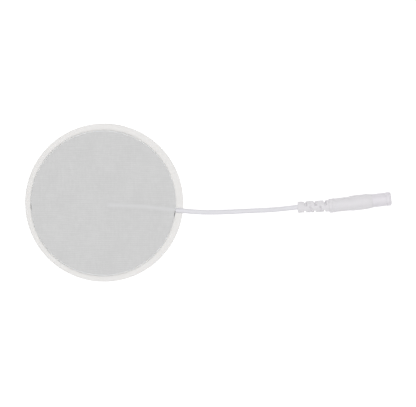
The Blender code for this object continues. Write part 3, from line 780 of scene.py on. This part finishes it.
def slab(name, cells, thickness, plain_back=False):
    """A square slab whose upper face is a grid, and whose back is a grid too or one face."""
    select_only(None)
    base = thickness if plain_back else 0.0
    bpy.ops.mesh.primitive_grid_add(
        x_subdivisions=cells, y_subdivisions=cells, size=SLAB_SIZE, location=(*FACE_MIDDLE, base)
    )
    piece = bpy.context.object
    piece.name = name
    edit_all(piece)
    if plain_back:
        bpy.ops.mesh.select_mode(type="EDGE")
        bpy.ops.mesh.select_all(action="DESELECT")
        bpy.ops.mesh.select_non_manifold(
            extend=False, use_wire=False, use_boundary=True, use_multi_face=False,
            use_non_contiguous=False, use_verts=False,
        )
        bpy.ops.mesh.extrude_region_move(TRANSFORM_OT_translate={"value": (0, 0, -thickness)})
        bpy.ops.mesh.edge_face_add()
    else:
        bpy.ops.mesh.extrude_region_move(TRANSFORM_OT_translate={"value": (0, 0, thickness)})
    bpy.ops.mesh.select_all(action="SELECT")
    bpy.ops.mesh.normals_make_consistent(inside=False)
    settle(piece)
    return piece


def cut_round(layer, radius, thickness, rim):
    """Cuts a slab to a disc with a shaped rim. The cutter stands out above and below it."""
    shape = [(rim[0][0], -1.0), *rim, (rim[-1][0], 2.0)]
    profile = [(radius - inset * MM, share * thickness) for inset, share in shape]
    disc = turned("rim_cutter", profile, PAD_SIDES)
    settle(disc, Matrix.Translation((*FACE_MIDDLE, 0.0)))
    combine(layer, disc, "INTERSECT")


def press_notches(piece, trim=0.0):
    """Draws in the layer's edge at two places, where the black film then shows beside it.

    A trim takes that much more off the edge towards +Y and -Y, so the layer isn't quite round.
    """
    points = read_points(piece)
    out = points[:, :2] - FACE_MIDDLE
    reach = np.hypot(*out.T)
    turn = np.arctan2(out[:, 1], out[:, 0])
    pull = trim * np.sin(turn) ** 2
    for degrees, depth, half_width in NOTCHES:
        off = (turn - math.radians(degrees) + np.pi) % (2 * np.pi) - np.pi
        pull += depth * swell(np.abs(off) * FACE_RADIUS, half_width)
    near_edge = np.clip(1 - (FACE_RADIUS - reach) / NOTCH_BAND, 0.0, 1.0)
    # Nothing is pulled near the middle, so its reach only has to be other than 0
    points[:, :2] -= out * (pull * near_edge / np.maximum(reach, MM))[:, None]
    write_points(piece, points)


def lift_layer(piece, thickness, under, fold_under, fold_over):
    """Moves a flat layer to its height and folds both its faces over the lead."""
    points = read_points(piece)
    x, y, z = points.T
    share = z / thickness
    points[:, 2] = under + z + (1 - share) * fold(x, y, fold_under) + share * fold(x, y, fold_over)
    write_points(piece, points)


def make_film():
    film = slab("carbon_vinyl_film", SLAB_CELLS, FILM_THICKNESS)
    cut_round(film, FACE_RADIUS - FILM_INSET, FILM_THICKNESS, FILM_RIM)
    lift_layer(film, FILM_THICKNESS, FILM_UNDER, FILM_FOLD, FILM_FOLD)
    smooth_by_angle(film, 35)
    return film


def make_gel():
    gel = slab("hydrogel_sheet", SLAB_CELLS, GEL_THICKNESS)
    cut_round(gel, FACE_RADIUS, GEL_THICKNESS, GEL_RIM)
    press_notches(gel)
    lift_layer(gel, GEL_THICKNESS, GEL_UNDER, FILM_FOLD, FACE_FOLD)
    smooth_by_angle(gel, 40)
    return gel


def thread_height(x, y):
    """Plain weave, 0 in the gaps and 1 on the threads, with the ribs along X the stronger.

    The real threads are about 0.3 mm apart. They are drawn about twice as coarse to show.
    """
    slow = np.sin(x / SLOW_WAVE[0]) * np.cos(y / SLOW_WAVE[1] + SLOW_START)
    quick = np.sin(x / QUICK_WAVE[0] + QUICK_BEND * np.sin(y / QUICK_WAVE[1]))
    row = y / THREAD_SPACING + SLOW_REACH * slow + QUICK_REACH * quick
    ribs = np.cos(2 * np.pi * row)
    crossing = np.cos(np.pi * x / THREAD_SPACING) * np.cos(np.pi * row)
    return np.clip(0.5 + RIB_SHARE * ribs + CROSSING_SHARE * crossing, 0.0, 1.0)


def divide_back(scrim):
    """Cuts the plain back into strips along and across the lead, so that it can fold too."""
    end = ROUTE[0].xy
    near_rim = Vector(UNDER_FILM[4]) * MM
    direction = (near_rim - end).normalized()
    side = (-direction.y, direction.x, 0.0)
    nose = Vector((end.x - FOLD_NOSE, end.y))
    cuts = []
    for strip in range(-BACK_STRIPS, BACK_STRIPS + 1):
        cuts.append((end, strip / BACK_STRIPS * FACE_FOLD[1], side))
    cuts += [(nose, cut, (1.0, 0.0, 0.0)) for cut in BACK_CUTS]
    for start, offset, normal in cuts:
        select_only(scrim)
        normals = np.empty(3 * len(scrim.data.polygons), np.float32)
        scrim.data.polygons.foreach_get("normal", normals)
        scrim.data.polygons.foreach_set("select", normals[2::3] < -FACING)
        bpy.ops.object.mode_set(mode="EDIT")
        bpy.ops.mesh.select_mode(type="FACE")
        place = Vector((*start, 0.0)) + offset * Vector(normal)
        bpy.ops.mesh.bisect(plane_co=place, plane_no=normal)
        bpy.ops.object.mode_set(mode="OBJECT")


def make_scrim():
    scrim = slab("woven_scrim", SCRIM_CELLS, SCRIM_THICKNESS, plain_back=True)
    cut_round(scrim, SCRIM_RADIUS, SCRIM_THICKNESS, SCRIM_RIM)
    press_notches(scrim, SCRIM_TRIM)
    divide_back(scrim)
    x, y, z = read_points(scrim).T
    height = thread_height(x, y)
    lift_layer(scrim, SCRIM_THICKNESS, SCRIM_UNDER, FACE_FOLD, FACE_FOLD)
    points = read_points(scrim)
    upper_face = z > 0.9 * SCRIM_THICKNESS
    points[:, 2] -= np.where(upper_face, THREAD_RELIEF * (1 - height), 0.0)
    write_points(scrim, points)
    write_attribute(scrim, "thread_height", height)
    # A paler stripe along the crest over the lead, a painted highlight
    write_attribute(scrim, "ridge_crest_highlight", fold(x, y, RIDGE_HIGHLIGHT))
    smooth_by_angle(scrim, 40)
    return scrim


def stretched(points, back):
    """The same points with the first end carried back straight."""
    first = points[0] + (points[0] - points[1]).normalized() * back
    return [first, *points[1:]]


def foam_profile():
    """Underside, foot round, wall, top round and a flat top in rings that can dip."""
    foot = FOAM_RADIUS - FOAM_FOOT_ROUND
    rim = FOAM_RADIUS - FOAM_ROUND
    profile = [(FOAM_HUB, 0.0)]
    profile += arc(foot, FOAM_FOOT_ROUND, FOAM_FOOT_ROUND, -90, 0, steps=4)
    profile += [(FOAM_RADIUS, height) for height in WALL_RINGS]
    profile += arc(rim, FOAM_TOP - FOAM_ROUND, FOAM_ROUND, 0, 90, steps=8)
    for ring in range(TOP_RING_COUNT):
        profile.append((FIRST_TOP_RING - ring * TOP_RING_SPACING, FOAM_TOP))
    return profile


def make_foam():
    """Turned disc with a softened rim, cut for the lead, pressed down beside it."""
    foam = turned("foam_disc", foam_profile(), PAD_SIDES)
    route = stretched(ROUTE, CHANNEL_BACK)
    channel = tube("channel", route, LEAD_RADIUS + CHANNEL_GAP, bevel_steps=12)
    select_only(channel)
    bpy.ops.object.convert(target="MESH")
    edit_all(channel)
    close_mesh()
    combine(foam, channel, "DIFFERENCE")
    points = read_points(foam)
    x, y, z = points.T
    at_rim = ease((np.hypot(x, y) - DIP_START) / DIP_RUN_IN)
    dip = DIP_DEPTH * at_rim * swell(beside_lead(x, y), DIP_HALF_WIDTH)
    # The lead leaves the pad on its +X side
    points[:, 2] -= dip * np.clip(z / FOAM_TOP, 0.0, 1.0) * (x > 0)
    # A sliced sheet is never quite flat: its upper part rises and falls a little
    for i in np.nonzero(z > FOAM_WAVES_FROM)[0]:
        points[i, 2] += FOAM_WAVE_HEIGHT * noise.noise(Vector(points[i]) / FOAM_WAVE)
    write_points(foam, points)
    smooth_by_angle(foam, 40)
    return foam


# Plug


def slot_block(slot, place, side):
    """One block that cuts a leaning slot into one side of the relief, wider at the surface."""
    middle = (0.0, side * SLOT_SURFACE, place)
    depth = 2 * (SLOT_SURFACE - slot["floor"])
    select_only(None)
    bpy.ops.mesh.primitive_cube_add(size=1.0, location=middle)
    block = bpy.context.object
    edit_all(block)
    bpy.ops.transform.resize(value=(slot["width"], depth, slot["length"]), center_override=middle)
    select_only(block)
    for face in block.data.polygons:
        face.select = face.normal.y * side > FACING
    bpy.ops.object.mode_set(mode="EDIT")
    bpy.ops.mesh.select_mode(type="FACE")
    bpy.ops.transform.resize(value=(1.0, 1.0, SLOT_FLARE), center_override=middle)
    bpy.ops.mesh.select_all(action="SELECT")
    bpy.ops.transform.rotate(
        value=-side * slot["lean"], orient_axis="Y", center_override=middle
    )
    settle(block, Matrix.Rotation(MOULDING_ROLL + slot["turn"], 4, "Z"))
    return block


def relief_profile():
    """Outside of the relief, with a groove near its free end."""
    groove = RELIEF_RADIUS - END_GROOVE_DEPTH
    end = RELIEF_LENGTH + RELIEF_SEAT
    return [
        (RELIEF_HUB, -RELIEF_BACK), (RELIEF_RADIUS, -RELIEF_BACK),
        (RELIEF_RADIUS, END_GROOVE_PLACE - END_GROOVE_HALF_WIDTH), (groove, END_GROOVE_PLACE),
        (RELIEF_RADIUS, END_GROOVE_PLACE + END_GROOVE_HALF_WIDTH),
        (RELIEF_SEAT_RADIUS, RELIEF_LENGTH), (RELIEF_SEAT_RADIUS, end), (RELIEF_HUB, end),
    ]


def make_relief():
    """Tapered strain relief with slots to the sides and to the faces by turns, worn soft."""
    profile = rounded(relief_profile(), RELIEF_ROUND, steps=5)
    relief = turned("relief", profile, RELIEF_SIDES)
    for number in range(SLOT_COUNT):
        slot = FACE_SLOT if number % 2 else SIDE_SLOT
        place = FIRST_SLOT + number * SLOT_SPACING + slot["shift"]
        for side in (-1, 1):
            combine(relief, slot_block(slot, place, side), "DIFFERENCE")
    apply_modifier(
        relief, "BEVEL", width=SLOT_EDGE_ROUND, segments=3, angle_limit=math.radians(40)
    )
    spine = [(SPINE_RADIUS, SPINE_START), (SPINE_RADIUS, RELIEF_LENGTH + SPINE_SEAT)]
    combine(relief, turned("spine", spine, SPINE_SIDES), "UNION")
    apply_modifier(relief, "REMESH", mode="VOXEL", voxel_size=WEAR_VOXEL)
    apply_modifier(relief, "SMOOTH", factor=0.5, iterations=WEAR_PASSES)
    return relief


def body_outline():
    """Outside of the plug's body: two beads of the collar, waist, ramp, grip and lip."""
    groove = COLLAR_RADIUS - COLLAR_GROOVE_DEPTH
    shoulder = GRIP_RADIUS - GRIP_EDGE_DROP
    return [
        (COLLAR_RADIUS, 0.0), (COLLAR_RADIUS, FIRST_BEAD_END),
        (groove, FIRST_BEAD_END + COLLAR_GROOVE_SLOPE),
        (groove, SECOND_BEAD_START - COLLAR_GROOVE_SLOPE),
        (COLLAR_RADIUS, SECOND_BEAD_START), (COLLAR_RADIUS, COLLAR_END),
        (groove, COLLAR_END + WAIST_GROOVE_SLOPE), (WAIST_RADIUS, WAIST_START),
        (RAMP_FOOT_RADIUS, RAMP_START), (shoulder, GRIP_START - GRIP_EDGE),
        (GRIP_RADIUS, GRIP_START + GRIP_EDGE), (GRIP_RADIUS, GRIP_END - GRIP_EDGE),
        (shoulder, GRIP_END + GRIP_EDGE), (LIP_RADIUS + LIP_TAPER, BODY_FRONT),
        (LIP_RADIUS, BODY_FRONT + LIP_LENGTH),
    ]


def make_overmould():
    """Collar, waist, grip and taper of the soft moulding, joined to its slotted relief."""
    tail_bore = SLEEVE_TAIL_RADIUS + FIT_GAP
    tail_floor = SLEEVE_TAIL_END - FIT_GAP
    crimp_bore = CRIMP_RADIUS + FIT_GAP
    crimp_floor = CRIMP_END - FIT_GAP
    conductor_bore = CONDUCTOR_RADIUS + FIT_GAP
    outside = [(BODY_HUB, 0.0), *body_outline(), (tail_bore, BODY_FRONT + LIP_LENGTH)]
    bore = [
        (tail_bore, tail_floor), (crimp_bore, tail_floor), (crimp_bore, crimp_floor),
        (conductor_bore, crimp_floor), (conductor_bore, JACKET_IN_BODY + FIT_GAP),
    ]
    profile = rounded(outside, BODY_ROUND, steps=4) + bore
    overmould = turned("plug_moulding", profile, PLUG_SIDES)
    settle(overmould, plug_frame(BODY_START, BODY_ANGLE))
    relief = make_relief()
    settle(relief, plug_frame(RELIEF_START, RELIEF_ANGLE))
    combine(overmould, relief, "UNION")
    smooth_by_angle(overmould, 50)
    return overmould


def make_sleeve():
    """Hard front sleeve: mouth, rounded nose, bead, groove, barrel and tail."""
    nose = SLEEVE_NOSE_ROUND
    groove = SLEEVE_RADIUS - SLEEVE_GROOVE_DEPTH
    back = BODY_FRONT + FIT_GAP
    bore = SOCKET_RADIUS + FIT_GAP
    mouth_floor = SLEEVE_FRONT - MOUTH_DEPTH
    profile = [
        (MOUTH_RADIUS + MOUTH_CHAMFER, SLEEVE_FRONT),
        *arc(SLEEVE_BEAD_RADIUS - nose, SLEEVE_FRONT - nose, nose, 90, 0, steps=8),
        (SLEEVE_BEAD_RADIUS, SLEEVE_GROOVE_PLACE + SLEEVE_GROOVE_HALF_WIDTH),
        (groove, SLEEVE_GROOVE_PLACE + SLEEVE_GROOVE_HALF_FLOOR),
        (groove, SLEEVE_GROOVE_PLACE - SLEEVE_GROOVE_HALF_FLOOR),
        (SLEEVE_RADIUS, SLEEVE_GROOVE_PLACE - SLEEVE_GROOVE_HALF_WIDTH),
        (SLEEVE_RADIUS, back), (SLEEVE_TAIL_RADIUS, back),
        (SLEEVE_TAIL_RADIUS, SLEEVE_TAIL_END), (bore, SLEEVE_TAIL_END), (bore, mouth_floor),
        (MOUTH_RADIUS, mouth_floor), (MOUTH_RADIUS, SLEEVE_FRONT - MOUTH_CHAMFER),
        (MOUTH_RADIUS + MOUTH_CHAMFER, SLEEVE_FRONT),
    ]
    profile = rounded(profile, SLEEVE_EDGE_ROUND, steps=3)
    sleeve = turned("front_sleeve", profile, PLUG_SIDES, open_middle=True)
    settle(sleeve, plug_frame(BODY_START, BODY_ANGLE))
    smooth_by_angle(sleeve, 50)
    return sleeve


def make_socket():
    """Turned socket for a 2 mm pin, slit across, with its crimp barrel behind."""
    profile = [
        (CRIMP_BORE_RADIUS, CRIMP_BORE_END), (CRIMP_BORE_RADIUS, CRIMP_END),
        (CRIMP_RADIUS, CRIMP_END), (CRIMP_RADIUS, SLEEVE_TAIL_END),
        (SOCKET_RADIUS, SLEEVE_TAIL_END), (SOCKET_RADIUS, SOCKET_FRONT - SOCKET_EDGE_BREAK),
        (SOCKET_RADIUS - SOCKET_EDGE_BREAK, SOCKET_FRONT),
        (SOCKET_BORE_RADIUS + SOCKET_LEAD_IN, SOCKET_FRONT),
        (SOCKET_BORE_RADIUS, SOCKET_FRONT - SOCKET_LEAD_IN_DEPTH),
        (SOCKET_BORE_RADIUS, SOCKET_BORE_END),
    ]
    socket = turned("pin_socket", rounded(profile, SOCKET_ROUND, steps=3), SOCKET_SIDES)
    select_only(None)
    middle = (0.0, 0.0, SOCKET_FRONT + SLIT_OVERRUN - SLIT_LENGTH / 2)
    size = (3 * SOCKET_RADIUS, SLIT_WIDTH, SLIT_LENGTH)
    bpy.ops.mesh.primitive_cube_add(size=1.0, location=middle)
    slit = bpy.context.object
    edit_all(slit)
    bpy.ops.transform.resize(value=size, center_override=middle)
    settle(slit)
    combine(socket, slit, "DIFFERENCE")
    settle(socket, plug_frame(BODY_START, BODY_ANGLE))
    smooth_by_angle(socket, 40)
    return socket


# Assembly


def finish_piece(piece, material, slot, *nodes):
    piece.data.materials.clear()
    piece.data.materials.append(material)
    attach(piece, "root")
    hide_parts(*nodes)
    return piece


add_camera()
add_studio()

lead_pvc = plastic_finish(
    "extruded_soft_pvc", "#dfdee2", "#dbdadf", 0.48, 0.58, grain_size=0.25 * MM, depth=0.01 * MM
)
plug_pvc = plastic_finish(
    "moulded_soft_pvc", "#dfdde0", "#dbd9dc", 0.52, 0.64, grain_size=0.12 * MM, depth=0.01 * MM
)
sleeve_pp = plastic_finish(
    "moulded_polypropylene", "#dfdce1", "#dbd8dd", 0.42, 0.52, grain_size=0.3 * MM,
    depth=0.005 * MM,
)
nickel = metal_finish(
    "turned_nickel_plate", "#d2cdc2", "#b9b3a7", 0.16, 0.3, line_spacing=0.08 * MM
)
tinned = metal_finish(
    "tinned_copper_strand", "#cfc9c0", "#b5ada2", 0.3, 0.45, line_spacing=0.2 * MM
)

lead = finish_piece(make_lead(), lead_pvc, "lead_jacket", "lead_wire")
foam = finish_piece(make_foam(), foam_finish(), "foam", "foam_backing")
film = finish_piece(make_film(), film_finish(), "carbon_film", "carbon_film")
gel = finish_piece(make_gel(), gel_finish(), "hydrogel", "hydrogel")
scrim = finish_piece(make_scrim(), scrim_finish(), "scrim", "gel_scrim")
overmould = finish_piece(make_overmould(), plug_pvc, "plug_moulding", "plug_overmould")
sleeve = finish_piece(make_sleeve(), sleeve_pp, "plug_sleeve", "plug_insulator")
socket = finish_piece(make_socket(), nickel, "contact", "socket_contact")

for name in ("conductor_fan", "conductor_tail"):
    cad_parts[name].data.materials[0] = tinned
